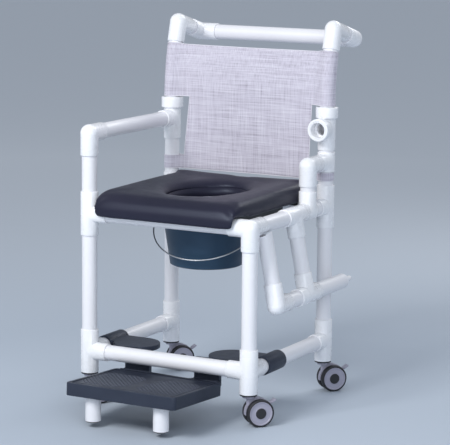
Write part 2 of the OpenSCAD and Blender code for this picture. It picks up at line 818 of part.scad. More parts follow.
// One side of the moulding: riser behind the rail, plate with a round end, sleeve
module footrest_side(s) {
    plate_mid = (plate_front + plate_rear) / 2;
    plate_r = (plate_rear - plate_front) / 2;
    riser_low = tray_z - arm_t - (riser_front - tray_front_y) * sin(tray_tilt) - 2;
    translate([s > 0 ? arm_in + riser_in : riser_in - arm_out, riser_front, riser_low])
        cube([arm_out - arm_in - 2 * riser_in, riser_t, plate_top - over - riser_low]);
    translate([0, 0, plate_top - plate_t]) linear_extrude(plate_t) {
        translate([s * (plate_in + plate_r), plate_mid]) circle(r = plate_r);
        translate([s > 0 ? plate_in + plate_r : -plate_out, plate_front])
            square([plate_out - plate_in - plate_r, 2 * plate_r]);
        translate([s > 0 ? link_in : -hx, sleeve_front])
            square([hx - link_in, plate_rear - sleeve_front]);
    }
    translate([s * hx, sleeve_front, base_z]) rotate(TO_Y)
        cylinder(r = socket_r + sleeve_wall, h = sleeve_l);
}
module footrest_legs() {
    color(PVC) place() for (s = SIDES)
        pipe_z(s * leg_gap / 2, leg_y, leg_lift + plug_flange, leg_top);
}
module footrest_plugs() {
    color(BLACK) place() for (s = SIDES) translate([s * leg_gap / 2, leg_y, leg_lift]) {
        cylinder(r1 = pipe_r - 2.5, r2 = pipe_r, h = plug_flange - end_gap / 2);
        cylinder(r = bore_r - fit_gap, h = plug_l);
    }
}

// Casters: c is a corner's [name, side, end]
module at_caster(c) {
    translate([c[1] * hx, c[2] * hy, 0]) rotate([0, 0, trail_deg]) children();
}
// Axle frame: +Z along the axle, +X along the trail
module at_axle(c) {
    at_caster(c) translate([trail, 0, wheel_r]) rotate([90, 0, 0]) children();
}
module caster_inserts() {
    color(BLACK) place() for (c = CORNERS) at_caster(c) translate([0, 0, insert_z]) difference() {
        union() {
            cylinder(r = fit_r - 1.2, h = insert_flange);
            cylinder(r = socket_r - fit_gap, h = insert_flange + socket_depth - end_gap);
        }
        translate([0, 0, -over]) cylinder(r = stem_r + run_gap, h = stem_l + 2 * over);
    }
}
// Place of the brake's pivot round the axle
brake_pivot = [(hood_r - 8) * cos(brake_lift), (hood_r - 8) * sin(brake_lift)];
module caster_hood(c) {
    color(GREY) place() difference() {
        union() {
            at_axle(c) translate([0, 0, -hood_w / 2]) linear_extrude(hood_w) difference() {
                circle(r = hood_r, $fn = 72);
                translate([-2 * hood_r, -2 * hood_r - 6]) square([4 * hood_r, 2 * hood_r]);
            }
            at_axle(c) translate([0, 0, -hood_w / 2 + 0.5]) cylinder(r = 3 * axle_r, h = hood_w - 1);
            at_caster(c) translate([0, 0, neck_z]) cylinder(r = hood_w / 2 - 0.6, h = neck_top - neck_z);
            at_caster(c) translate([0, 0, neck_top - neck_t]) cylinder(r = neck_r, h = neck_t);
            at_caster(c) translate([0, -hood_w / 2 + 0.8, neck_z])
                cube([trail, hood_w - 1.6, neck_top - neck_z - neck_t + over]);
            at_caster(c) translate([0, 0, neck_top]) cylinder(r = stem_r, h = stem_l);
        }
        at_axle(c) translate([0, 0, -hood_w]) cylinder(r = axle_r + run_gap, h = 2 * hood_w);
        at_axle(c) translate([brake_pivot[0], brake_pivot[1], -hood_w])
            cylinder(r = brake_r + run_gap, h = 2 * hood_w);
        at_axle(c) translate([brake_pivot[0], brake_pivot[1], -brake_w / 2 - brake_slot_gap])
            linear_extrude(brake_w + 2 * brake_slot_gap) {
                circle(r = brake_r + 3.6);
                for (turn = [-55, 0])
                    rotate(brake_lift + turn) translate([0, -brake_r - 2.1])
                        square([hood_r, 2 * brake_r + 4.2]);
            }
    }
}
module caster_wheels(c) {
    color(GREY) place() at_axle(c) for (s = SIDES) mirror([0, 0, s < 0 ? 1 : 0]) translate([0, 0, wheel_in])
        difference() {
            rotate_extrude($fn = 72) polygon([
                [axle_r + tyre_gap, 0],
                [disc_r, 0],
                [disc_r, wheel_w],
                [disc_r - 2, wheel_w],
                [disc_r - 4, wheel_w - 2],
                [cap_r + 3, wheel_w - 2],
                [cap_r + tyre_gap, wheel_w - 1],
                [cap_r + tyre_gap, wheel_w - cap_t],
                [axle_r + tyre_gap, wheel_w - cap_t]]);
        }
}
module caster_tyres(c) {
    round_r = 4;
    color(BLACK) place() at_axle(c) for (s = SIDES) mirror([0, 0, s < 0 ? 1 : 0])
        translate([0, 0, wheel_in]) rotate_extrude($fn = 72) polygon(concat(
            [[disc_r + tyre_gap, 0]],
            arc(wheel_r - round_r, round_r, round_r, -90, 0, 4),
            arc(wheel_r - round_r, wheel_w - round_r, round_r, 0, 90, 4),
            [[disc_r + tyre_gap, wheel_w]]));
}
module caster_axle(c) {
    color(BLACK) place() at_axle(c) {
        translate([0, 0, -wheel_out + cap_t / 2]) cylinder(r = axle_r, h = 2 * wheel_out - cap_t);
        for (s = SIDES) mirror([0, 0, s < 0 ? 1 : 0]) translate([0, 0, wheel_out - cap_t + tyre_gap]) {
            cylinder(r = cap_r, h = cap_t - 0.6);
            translate([0, 0, cap_t - 0.6]) cylinder(r1 = cap_r, r2 = cap_r - 2, h = 0.6);
        }
    }
}
module caster_brake(c) {
    color(GREY) place() at_axle(c) translate([brake_pivot[0], brake_pivot[1], 0]) {
        translate([0, 0, -hood_w / 2 + 0.2]) cylinder(r = brake_r, h = hood_w - 0.4);
        translate([0, 0, -brake_w / 2]) linear_extrude(brake_w) {
            circle(r = brake_r + 3);
            rotate(brake_lift) translate([0, -3]) square([brake_reach - 8, 6]);
        }
        rotate([0, 0, brake_lift]) translate([brake_reach - 15, -pad_t / 2, -pad_w / 2])
            cube([15, pad_t, pad_w]);
    }
}

base_corner_fittings();
base_rear_tees();
base_front_rail();
base_side_rails();
lower_posts();
seat_left_fitting();
seat_right_corner();
seat_rear_tees();
seat_cross_rails();
seat_left_rail();
seat_right_rail();
left_arm_tubes();
left_arm_elbow();
left_arm_tee();
arm_socket_tee();
collars();
rear_uprights();
brace_tees();
brace_elbow();
brace_tubes();
back_posts();
handle_elbows();
handle_tubes();
sling();
seat_pad();
seat_board();
seat_clips();
pail_rails();
pail();
bail();
drop_arm_pivot_tee();
drop_arm_lower_tee();
drop_arm_elbow();
drop_arm_legs();
drop_arm_tubes();
drop_arm_peg();
footrest();
footrest_legs();
footrest_plugs();
caster_inserts();
for (c = CORNERS) {
    caster_hood(c);
    caster_wheels(c);
    caster_tyres(c);
    caster_axle(c);
    caster_brake(c);
}
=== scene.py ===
"""Looks of the wheeled shower commode chair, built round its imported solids. Metres, +Z up."""
import json
import math

import bmesh
import bpy
from mathutils import Matrix, Vector


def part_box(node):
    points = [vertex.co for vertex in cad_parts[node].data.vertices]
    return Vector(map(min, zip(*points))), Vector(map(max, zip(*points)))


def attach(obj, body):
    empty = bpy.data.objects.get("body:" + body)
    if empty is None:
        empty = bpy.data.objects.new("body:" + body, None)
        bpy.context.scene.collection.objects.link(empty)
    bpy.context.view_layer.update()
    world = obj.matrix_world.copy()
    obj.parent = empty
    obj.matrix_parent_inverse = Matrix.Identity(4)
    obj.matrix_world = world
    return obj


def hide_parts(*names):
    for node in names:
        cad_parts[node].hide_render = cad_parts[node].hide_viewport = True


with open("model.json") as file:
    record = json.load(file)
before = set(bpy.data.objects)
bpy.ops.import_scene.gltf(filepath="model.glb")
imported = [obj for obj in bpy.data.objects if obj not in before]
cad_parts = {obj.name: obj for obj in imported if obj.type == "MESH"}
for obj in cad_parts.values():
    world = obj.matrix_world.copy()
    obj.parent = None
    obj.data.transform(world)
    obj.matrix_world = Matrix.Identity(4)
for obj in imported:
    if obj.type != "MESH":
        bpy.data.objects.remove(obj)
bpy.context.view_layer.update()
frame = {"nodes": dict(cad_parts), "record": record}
nodes = frame["nodes"]
scene = bpy.context.scene

# Sizes shared with the solids, counted from the floor midway between the four posts
HX = 0.2485  # half the distance between the left and right posts
HY = 0.2255  # half the distance between the front and rear posts
BEND_Z = 0.824  # height at which the back posts begin to bend
BEND_R = 0.580  # radius of their bend
rail_low, rail_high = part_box("base_front_rail")
MID = Vector((-(rail_low.x + rail_high.x) / 2, -HY - (rail_low.y + rail_high.y) / 2, 0.0))


def at(x, y, z):
    """A point given from the middle of the four posts, in the row frame."""
    return Vector((x, y, z)) - MID


# Materials

HIGHLIGHT_TINT = (0.72, 0.82, 1.0, 1.0)
EDGE_RADIUS = 0.0012  # how far moulded edges look rounded
WEAVE_PITCH = 0.0021
SLUB_FINE = 380.0  # noise scale across a yarn
SLUB_LONG = 10.0  # noise scale along a yarn


class Mat:
    """A node material with short helpers for its graph."""

    def __init__(self, name, color, rough, **extra):
        self.m = bpy.data.materials.new(name)
        self.m.use_nodes = True
        self.t = self.m.node_tree
        self.b = self.t.nodes["Principled BSDF"]
        self.b.inputs["Base Color"].default_value = (*color, 1)
        self.b.inputs["Roughness"].default_value = rough
        for key, value in extra.items():
            self.b.inputs[key.replace("_", " ")].default_value = value
        self.m.diffuse_color = (*color, 1)
        self.coord = self.n("ShaderNodeTexCoord").outputs["Object"]
        self.normal = None

    def n(self, kind, **values):
        """A new node, with values for its inputs or its own settings."""
        node = self.t.nodes.new(kind)
        for key, value in values.items():
            if key in node.inputs:
                node.inputs[key].default_value = value
            else:
                setattr(node, key, value)
        return node

    def link(self, a, b):
        self.t.links.new(a, b)

    def scaled(self, x, y, z):
        """Object coordinates, scaled along each axis."""
        node = self.n("ShaderNodeMapping")
        node.inputs["Scale"].default_value = (x, y, z)
        self.link(self.coord, node.inputs["Vector"])
        return node.outputs["Vector"]

    def noise(self, scale, detail=2.0, vector=None, rough=0.5):
        node = self.n("ShaderNodeTexNoise", Scale=scale, Detail=detail, Roughness=rough)
        self.link(vector or self.coord, node.inputs["Vector"])
        return node.outputs["Fac"]

    def math(self, op, a, b=None):
        """A math node on numbers or node outputs."""
        node = self.n("ShaderNodeMath", operation=op)
        for i, v in enumerate((a, b)):
            if v is None:
                continue
            if isinstance(v, (int, float)):
                node.inputs[i].default_value = v
            else:
                self.link(v, node.inputs[i])
        return node.outputs[0]

    def ramp(self, fac, *stops):
        """A colour ramp from (position, colour) stops."""
        node = self.n("ShaderNodeValToRGB")
        ramp = node.color_ramp
        while len(ramp.elements) < len(stops):
            ramp.elements.new(0.5)
        for e, (pos, col) in zip(ramp.elements, stops):
            e.position = pos
            e.color = (*col, 1)
        self.link(fac, node.inputs["Fac"])
        return node.outputs["Color"]

    def base(self, out):
        self.link(out, self.b.inputs["Base Color"])

    def roughness(self, fac, low, high):
        node = self.n("ShaderNodeMapRange")
        node.inputs["To Min"].default_value = low
        node.inputs["To Max"].default_value = high
        self.link(fac, node.inputs["Value"])
        self.link(node.outputs["Result"], self.b.inputs["Roughness"])

    def bump(self, height, strength, distance):
        """Bump on top of what already bends the normal."""
        node = self.n("ShaderNodeBump", Strength=strength, Distance=distance)
        self.link(height, node.inputs["Height"])
        if self.normal:
            self.link(self.normal, node.inputs["Normal"])
        self.normal = node.outputs["Normal"]
        self.link(self.normal, self.b.inputs["Normal"])

    def soften(self, radius):
        """Rounds the look of sharp edges."""
        node = self.n("ShaderNodeBevel", samples=4)
        node.inputs["Radius"].default_value = radius
        self.normal = node.outputs["Normal"]
        self.link(self.normal, self.b.inputs["Normal"])

    def cool(self, level):
        """Weaker, bluish highlights for a dark surface."""
        self.b.inputs["Specular IOR Level"].default_value = level
        self.b.inputs["Specular Tint"].default_value = HIGHLIGHT_TINT

    def split(self):
        """The object coordinates, one by one."""
        node = self.n("ShaderNodeSeparateXYZ")
        self.link(self.coord, node.inputs[0])
        return node.outputs


def pvc(name, low, high, rough):
    """White furniture plastic: clean low gloss, a faint cool cast that is painted bluish bounce light in
    shade, and moulding ripple.
    """
    m = Mat(name, high, rough, IOR=1.50, Coat_Weight=0.15, Coat_Roughness=0.12)
    m.base(m.ramp(m.noise(7.0, 3.0), (0.25, low), (0.75, high)))
    m.roughness(m.noise(38.0, 3.0), rough - 0.06, rough + 0.07)
    m.bump(m.noise(26.0, 2.0), 0.02, 0.0006)
    return m.m


def vinyl():
    """Charcoal seat cover: fine leather-like grain, soft sheen and slightly uneven tone."""
    m = Mat("vinyl", (0.030, 0.029, 0.041), 0.42, IOR=1.47)
    cell = m.n("ShaderNodeTexVoronoi", Scale=650.0, feature="DISTANCE_TO_EDGE")
    m.link(m.coord, cell.inputs["Vector"])
    blotch = m.noise(9.0, 4.0)
    m.base(m.ramp(blotch, (0.3, (0.0145, 0.0145, 0.028)), (0.72, (0.021, 0.0195, 0.036))))
    m.roughness(m.noise(45.0, 3.0), 0.34, 0.48)
    m.bump(cell.outputs["Distance"], 0.16, 0.0006)
    m.bump(m.noise(70.0, 3.0), 0.06, 0.0012)
    m.cool(0.36)
    return m.m


def mesh_cloth():
    """Light lilac woven mesh: crossed slub yarns of uneven tone, like coarse linen."""
    m = Mat("mesh", (0.66, 0.64, 0.71), 0.75, Sheen_Weight=0.2)
    xyz = m.split()
    wave = 2 * math.pi / WEAVE_PITCH
    u = m.math("SINE", m.math("MULTIPLY", xyz["X"], wave))
    w = m.math("SINE", m.math("MULTIPLY", xyz["Z"], wave))
    across = m.noise(1.0, 3.0, m.scaled(SLUB_LONG, SLUB_LONG, SLUB_FINE), 0.6)
    along = m.noise(1.0, 3.0, m.scaled(SLUB_FINE, SLUB_FINE, SLUB_LONG), 0.6)
    slub = m.math("ADD", m.math("MULTIPLY", across, 0.55), m.math("MULTIPLY", along, 0.45))
    tones = ((0.33, (0.37, 0.34, 0.41)), (0.45, (0.55, 0.515, 0.60)),
             (0.55, (0.63, 0.60, 0.685)), (0.66, (0.73, 0.705, 0.775)))
    m.base(m.ramp(slub, *tones))
    m.bump(m.math("MULTIPLY", u, w), 0.3, 0.0006)
    m.bump(slub, 0.4, 0.0008)
    return m.m


def moulded(name, low, high, rough, grain=420.0, strength=0.25, gloss=None):
    """Moulded plastic with a fine spark-eroded grain, and cool highlights where gloss is given."""
    m = Mat(name, high, rough)
    m.soften(EDGE_RADIUS)
    m.base(m.ramp(m.noise(11.0, 3.0), (0.3, low), (0.7, high)))
    m.roughness(m.noise(60.0, 3.0), rough - 0.07, rough + 0.08)
    m.bump(m.noise(grain, 2.0), strength, 0.0005)
    if gloss is not None:
        m.cool(gloss)
    return m.m


def steel():
    """Drawn wire, a little uneven in gloss."""
    m = Mat("wire", (0.55, 0.56, 0.58), 0.32, Metallic=1.0)
    m.roughness(m.noise(160.0, 2.0), 0.24, 0.42)
    m.bump(m.noise(300.0, 2.0), 0.1, 0.0003)
    return m.m


PVC = pvc("pvc", (0.895, 0.90, 0.93), (0.93, 0.93, 0.95), 0.27)
# The pipes get a darker, greyer copy of the fittings' white plastic: painted shade.
PIPE_PAINTED_SHADE = pvc("pvc_pipe_painted_shade", (0.84, 0.835, 0.87), (0.875, 0.87, 0.90), 0.33)
VINYL = vinyl()
CLOTH = mesh_cloth()
SLATE = moulded("pail", (0.022, 0.051, 0.090), (0.031, 0.067, 0.114), 0.36, 380.0, 0.14, gloss=0.4)
TREAD = moulded("footrest", (0.024, 0.029, 0.045), (0.034, 0.040, 0.060), 0.44, gloss=0.42)
# Lighter plastic for the tread's raised diamonds: painted highlight.
TREAD_PAINTED_HIGHLIGHT = moulded("footrest_painted_highlight", (0.040, 0.045, 0.064), (0.062, 0.067, 0.090), 0.34, gloss=0.5)
BLACK = moulded("black_plastic", (0.016, 0.016, 0.019), (0.024, 0.024, 0.028), 0.45)
BOARD = moulded("board", (0.030, 0.029, 0.034), (0.042, 0.040, 0.047), 0.6)
GREY = moulded("caster_grey", (0.33, 0.32, 0.40), (0.39, 0.38, 0.46), 0.42)
TYRE = moulded("tyre", (0.014, 0.014, 0.018), (0.022, 0.022, 0.027), 0.6, 500.0, 0.3)
WIRE = steel()
# Light thread colour for the stitching; on the sling's rolled edge this lightness is a painted edge
# highlight.
THREAD_AND_EDGE_HIGHLIGHT = moulded("thread_and_painted_edge_highlight", (0.70, 0.68, 0.74), (0.80, 0.78, 0.83), 0.7, 900.0, 0.5)
BY_SLOT = {
    "pvc": PVC,
    "vinyl": VINYL,
    "mesh": CLOTH,
    "board": BOARD,
    "black_plastic": BLACK,
    "pail": SLATE,
    "wire": WIRE,
    "footrest": TREAD,
    "caster_grey": GREY,
    "tyre": TYRE,
}
SLOT_OF = {p["node"]: p["material_slot"] for p in frame["record"]["subparts"]}
PIPES = (
    "base_front_rail", "base_side_rails", "lower_posts", "seat_cross_rails", "seat_left_rail",
    "seat_right_rail", "left_arm_tubes", "rear_uprights", "brace_tubes", "back_posts",
    "handle_tubes", "drop_arm_legs", "drop_arm_tubes", "footrest_legs",
)


def dress(obj, mat):
    """Gives an object one material."""
    obj.data.materials.clear()
    obj.data.materials.append(mat)


# Pipes take the darker plastic, which is painted shade; fittings take the brighter one.
for name, obj in nodes.items():
    dress(obj, PIPE_PAINTED_SHADE if name in PIPES else BY_SLOT[SLOT_OF[name]])


# Mesh helpers

def add_object(name, data):
    """A new object in the scene."""
    obj = bpy.data.objects.new(name, data)
    scene.collection.objects.link(obj)
    return obj


def new_piece(name, verts, faces, mat, body, smooth=True):
    """A new piece of the model from points and faces."""
    mesh = bpy.data.meshes.new(name)
    mesh.from_pydata([tuple(v) for v in verts], [], faces)
    mesh.update()
    obj = add_object(name, mesh)
    if smooth:
        mesh.shade_smooth()
    dress(obj, mat)
    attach(obj, body)
    return obj


def evaluated_mesh(obj):
    """An object's mesh with its modifiers, or a curve's as a mesh."""
    deps = bpy.context.evaluated_depsgraph_get()
    return bpy.data.meshes.new_from_object(obj.evaluated_get(deps))


def apply_modifiers(obj):
    """Bakes an object's modifiers into a new mesh."""
    mesh = evaluated_mesh(obj)
    obj.modifiers.clear()
    obj.data = mesh


# Seat pad

SIDE_RISE = 0.0060  # how far the long edges rise towards the rear
END_BULGE = 0.0095  # how far the ends of the rolled front stand out
ROLL_HIGH = 0.064  # height of the rolled front
OPENING_HALF_W = 0.1010
OPENING_HALF_L = 0.1360
OPENING_Y = -0.008
LIP_WALL = 0.0030
LIP_TURNS = 120
VOXEL = 0.0045
SIM_FRAMES = 20
PRESSURE = 4.0
STIFFNESS = 60.0
BENDING = 8.0
SWELL_CAP = 0.0035  # the farthest that the simulation may move a point
UNDERSIDE_SHARE = 0.25  # the share of that motion kept below the board's top


def clamp01(v):
    return min(1.0, max(0.0, v))


def ease(a, b, v):
    """A smooth step from 0 at a to 1 at b."""
    t = clamp01((v - a) / (b - a))
    return t * t * (3 - 2 * t)


def even_sides(obj):
    """The cushion's long edges rise evenly to the rear, and the ends of its rolled front bulge out."""
    low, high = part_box("seat_pad")
    half = (high.x - low.x) / 2
    mid_x = (low.x + high.x) / 2
    for v in obj.data.vertices:
        side = v.co.x - mid_x
        out = ease(0.45 * half, 0.85 * half, abs(side))
        up = ease(high.z - 0.040, high.z - 0.016, v.co.z)
        along = (v.co.y - low.y) / (high.y - low.y)
        at_rear = ease(high.y - 0.040, high.y - 0.006, v.co.y)
        v.co.z += SIDE_RISE * out * up * (along - at_rear)
        at_end = ease(0.70 * half, half, abs(side))
        ahead = ease(low.y + 0.0150, low.y + 0.0095, v.co.y)
        round_end = math.sin(math.pi * clamp01((v.co.z - low.z) / ROLL_HIGH)) ** 0.6
        v.co.x += math.copysign(END_BULGE, side) * at_end * ahead * round_end


def opening_lip():
    """The cover's splash lip, which lines the board round the opening and ends just below it."""
    low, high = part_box("seat_board")
    top = high.z + 0.008
    bottom = low.z - 0.007
    profile = [(0.0, top), (0.0, bottom + 0.0015), (0.0006, bottom + 0.0004), (0.0015, bottom),
               (0.0024, bottom + 0.0004), (LIP_WALL, bottom + 0.0015), (LIP_WALL, top)]
    verts = []
    for i in range(LIP_TURNS):
        a = 2 * math.pi * i / LIP_TURNS
        for d, z in profile:
            x = (OPENING_HALF_W + d) * math.cos(a)
            y = OPENING_Y + (OPENING_HALF_L + d) * math.sin(a)
            p = at(x, y, 0.0)
            verts.append((p.x, p.y, z))
    n = len(profile)
    faces = []
    for i in range(LIP_TURNS):
        k = (i + 1) % LIP_TURNS
        for j in range(n):
            j2 = (j + 1) % n
            faces.append((i * n + j, k * n + j, k * n + j2, i * n + j2))
    new_piece("seat_opening_lip", verts, faces, VINYL, "frame")


def inflate(obj):
    """Swells the cover by cloth simulation, within SWELL_CAP, and keeps its underside level."""
    rest = [v.co.copy() for v in obj.data.vertices]
    settings = obj.modifiers.new("cloth", "CLOTH").settings
    settings.use_pressure = True
    settings.uniform_pressure_force = PRESSURE
    settings.effector_weights.gravity = 0.0
    settings.tension_stiffness = STIFFNESS
    settings.compression_stiffness = STIFFNESS
    settings.bending_stiffness = BENDING
    for f in range(1, SIM_FRAMES + 1):
        scene.frame_set(f)
    apply_modifiers(obj)
    scene.frame_set(1)
    board_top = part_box("seat_board")[1].z
    for v, r in zip(obj.data.vertices, rest):
        d = v.co - r
        if d.length > SWELL_CAP:
            d *= SWELL_CAP / d.length
        if r.z < board_top:
            d.z = 0.0
            d *= UNDERSIDE_SHARE
        v.co = r + d


def seat_pad():
    """The cushion: the pad's solid, remeshed, inflated and smoothed."""
    obj = add_object("seat_cushion", nodes["seat_pad"].data.copy())
    remesh = obj.modifiers.new("remesh", "REMESH")
    remesh.mode = "VOXEL"
    remesh.voxel_size = VOXEL
    apply_modifiers(obj)
    inflate(obj)
    even_sides(obj)
    smooth = obj.modifiers.new("smooth", "CORRECTIVE_SMOOTH")
    smooth.iterations = 10
    smooth.use_only_smooth = True
    subdivide = obj.modifiers.new("subdivide", "SUBSURF")
    subdivide.levels = 1
    subdivide.render_levels = 1
    apply_modifiers(obj)
    obj.data.shade_smooth()
    dress(obj, VINYL)
    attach(obj, "frame")
    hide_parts("seat_pad")


seat_pad()
opening_lip()


# Back sling. Side -1 is the left and 1 the right

SLING_LOW = 0.606
SLING_HIGH = BEND_Z + BEND_R * math.radians(13.9)
BAND_TOP = {-1: 0.6435, 1: 0.6285}  # top of the lower bands
NOTCH_TOP = 0.816  # top of the cut-outs beside the arm tees
NOTCH_EDGE = {-1: (0.2085, 0.1905), 1: (0.1930, 0.2010)}  # the cut-out's edge, at its foot and top
POCKET_R = 0.0222  # radius of the pockets round the posts
SEAM_X = 0.2090
LAP = 0.014
LAP_GAP = 0.0017  # how far the lap lies behind the panel
CLOTH_THICK = 0.0012
HEM_R = 0.0013
SAG = 0.0052
SAG_HALF_W = 0.186
CREASE = 0.0011
CREASE_SPAN = 0.05
PANEL_ROWS = 56
PANEL_COLS = 64
WRAP_STEPS = 26
FLAT_STEPS = 3
STITCH_STEP = 0.002
STITCH_EVERY = 3  # steps from one stitch to the next
STITCH_WIDTH = 0.0009
STITCH_SIDES = 5
HEM_ROW = 0.010  # from the edge to its row of stitches
HEM_ROW_HALF = 0.180
HEM_ROW_STEPS = 180


def on_post(x, n, t):
    """A point beside the back posts: across x, n behind their line, t along it from the floor."""
    if t <= BEND_Z:
        return at(x, HY + n, t)
    a = (t - BEND_Z) / BEND_R
    return at(x, HY + BEND_R - (BEND_R - n) * math.cos(a), BEND_Z + (BEND_R - n) * math.sin(a))


def sag(x, t):
    """The panel bellies back a little between the posts, with slight unevenness."""
    k = max(0.0, 1 - (x / SAG_HALF_W) ** 2)
    high = (t - SLING_LOW) / (SLING_HIGH - SLING_LOW)
    wave = 0.0007 * math.sin(31 * x + 14 * high) + 0.0005 * math.sin(17 * x - 23 * high + 1.3)
    return k * (SAG * (0.75 + 0.25 * math.sin(math.pi * high)) + wave)


def edge_at(s, t):
    """Where the panel ends on side s at height t."""
    low, high = NOTCH_EDGE[s]
    if t >= NOTCH_TOP:
        return s * high
    k = max(0.0, (t - BAND_TOP[s]) / (NOTCH_TOP - BAND_TOP[s]))
    return s * (low + (high - low) * k)


def pocket_path(s, start, t):
    """From the panel's edge round the post and back to a lap behind the panel, as (x, n) steps."""
    turn = math.acos(POCKET_R / (HX - SEAM_X))
    rise = (t - NOTCH_TOP) / CREASE_SPAN
    crease = 0.0
    if rise >= 0:
        crease = CREASE * math.exp(-3 * rise) * (1 + math.sin(rise * 28))
    path = [(start + (s * SEAM_X - start) * i / FLAT_STEPS, 0.0) for i in range(FLAT_STEPS + 1)]
    for i in range(WRAP_STEPS + 1):
        a = turn + (2 * math.pi - 2 * turn) * i / WRAP_STEPS
        r = POCKET_R + crease * math.sin(math.pi * i / WRAP_STEPS)
        path.append((s * (HX - r * math.cos(a)), -r * math.sin(a)))
    path += [(s * (SEAM_X - LAP * i / FLAT_STEPS), LAP_GAP) for i in range(FLAT_STEPS + 1)]
    return path


def add_grid(bm, rows):
    """Adds rows of points, joined by faces."""
    made = [[bm.verts.new(p) for p in row] for row in rows]
    for a, b in zip(made, made[1:]):
        for i in range(len(a) - 1):
            bm.faces.new((a[i], a[i + 1], b[i + 1], b[i]))


def boundary_loops(bm):
    """The open edges of a mesh, as closed lines of points."""
    ways = {}
    for e in bm.edges:
        if e.is_boundary:
            for v in e.verts:
                ways.setdefault(v, []).append(e)
    loops = []
    done = set()
    for first in ways:
        if first in done:
            continue
        loop = []
        v = first
        while v is not None and v not in done:
            done.add(v)
            loop.append(v.co.copy())
            v = next((e.other_vert(v) for e in ways[v] if e.other_vert(v) not in done), None)
        loops.append(loop)
    return loops


def sling():
    """The stretched back: a panel with pockets round both posts, its rolled edge and its stitching."""
    tall = SLING_HIGH - SLING_LOW
    levels = {round(SLING_LOW + tall * i / PANEL_ROWS, 5) for i in range(PANEL_ROWS + 1)}
    levels = sorted(levels | {BAND_TOP[-1], BAND_TOP[1], NOTCH_TOP, BEND_Z})
    bm = bmesh.new()
    panel = []
    for t in levels:
        x0 = edge_at(-1, t)
        x1 = edge_at(1, t)
        xs = [x0 + (x1 - x0) * i / PANEL_COLS for i in range(PANEL_COLS + 1)]
        panel.append([on_post(x, sag(x, t), t) for x in xs])
    add_grid(bm, panel)
    for s in (-1, 1):
        band = [t for t in levels if t <= BAND_TOP[s]]
        sleeve = [t for t in levels if t >= NOTCH_TOP]
        for part in (band, sleeve):
            rows = [[on_post(x, n, t) for x, n in pocket_path(s, edge_at(s, t), t)] for t in part]
            add_grid(bm, rows)
    bmesh.ops.remove_doubles(bm, verts=bm.verts, dist=0.0002)
    bmesh.ops.recalc_face_normals(bm, faces=bm.faces)
    loops = boundary_loops(bm)
    mesh = bpy.data.meshes.new("back_sling")
    bm.to_mesh(mesh)
    area_m2 = sum(f.calc_area() for f in bm.faces)
    bm.free()
    obj = add_object("back_sling", mesh)
    solidify = obj.modifiers.new("thickness", "SOLIDIFY")
    solidify.thickness = CLOTH_THICK
    solidify.offset = 0.0
    apply_modifiers(obj)
    obj.data.shade_smooth()
    dress(obj, CLOTH)
    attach(obj, "frame")
    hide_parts("sling")
    # The rolled edge is drawn lighter than the cloth: a painted edge highlight.
    hem = bound_edge("sling_hem", loops, HEM_R, THREAD_AND_EDGE_HIGHLIGHT)
    seams = stitches("sling_stitching", seam_lines(), THREAD_AND_EDGE_HIGHLIGHT)


def bound_edge(name, loops, r, mat):
    """A thin rolled edge along closed loops."""
    curve = bpy.data.curves.new(name, "CURVE")
    curve.dimensions = "3D"
    curve.bevel_depth = r
    curve.bevel_resolution = 1
    for loop in loops:
        spline = curve.splines.new("POLY")
        spline.points.add(len(loop) - 1)
        for p, co in zip(spline.points, loop):
            p.co = (*co, 1)
        spline.use_cyclic_u = True
    line = add_object(name + "_line", curve)
    mesh = evaluated_mesh(line)
    bpy.data.objects.remove(line)
    mesh.name = name
    obj = add_object(name, mesh)
    mesh.shade_smooth()
    dress(obj, mat)
    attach(obj, "frame")
    return obj


def seam_lines():
    """Rows of stitches: beside every pocket, and along the top and bottom hems, front and back."""
    rows = []
    for n in (-0.0010, 0.0030):
        for s in (-1, 1):
            for t0, t1 in ((SLING_LOW, BAND_TOP[s]), (NOTCH_TOP, SLING_HIGH)):
                count = int((t1 - t0) / STITCH_STEP)
                line = [t0 + (t1 - t0) * i / count for i in range(count + 1)]
                rows.append([on_post(s * (SEAM_X - 0.004), n, t) for t in line])
    for t in (SLING_LOW + HEM_ROW, SLING_HIGH - HEM_ROW):
        for n in (-0.0009, 0.0009):
            xs = [-HEM_ROW_HALF + 2 * HEM_ROW_HALF * i / HEM_ROW_STEPS for i in range(HEM_ROW_STEPS + 1)]
            rows.append([on_post(x, sag(x, t) + n, t) for x in xs])
    return rows


def stitches(name, rows, mat):
    """Short spindle-shaped stitches along polylines: two steps of thread, one step apart."""
    verts = []
    faces = []
    near = 1  # first point of the ring near the stitch's start
    far = near + STITCH_SIDES
    end = far + STITCH_SIDES
    for row in rows:
        for i in range(0, len(row) - 2, STITCH_EVERY):
            a = row[i]
            b = row[i + 2]
            d = (b - a).normalized()
            u = d.orthogonal().normalized()
            v = d.cross(u)
            k = len(verts)
            verts.append(a)
            for f in (0.3, 0.7):
                c = a.lerp(b, f)
                for j in range(STITCH_SIDES):
                    q = j * math.pi / 2.5
                    verts.append(c + (u * math.cos(q) + v * math.sin(q)) * STITCH_WIDTH / 2)
            verts.append(b)
            for j in range(STITCH_SIDES):
                j2 = (j + 1) % STITCH_SIDES
                faces.append((k, k + near + j2, k + near + j))
                faces.append((k + near + j, k + near + j2, k + far + j2, k + far + j))
                faces.append((k + far + j, k + far + j2, k + end))
    return new_piece(name, verts, faces, mat, "frame")


sling()


# Footrest tread and the fittings' edges

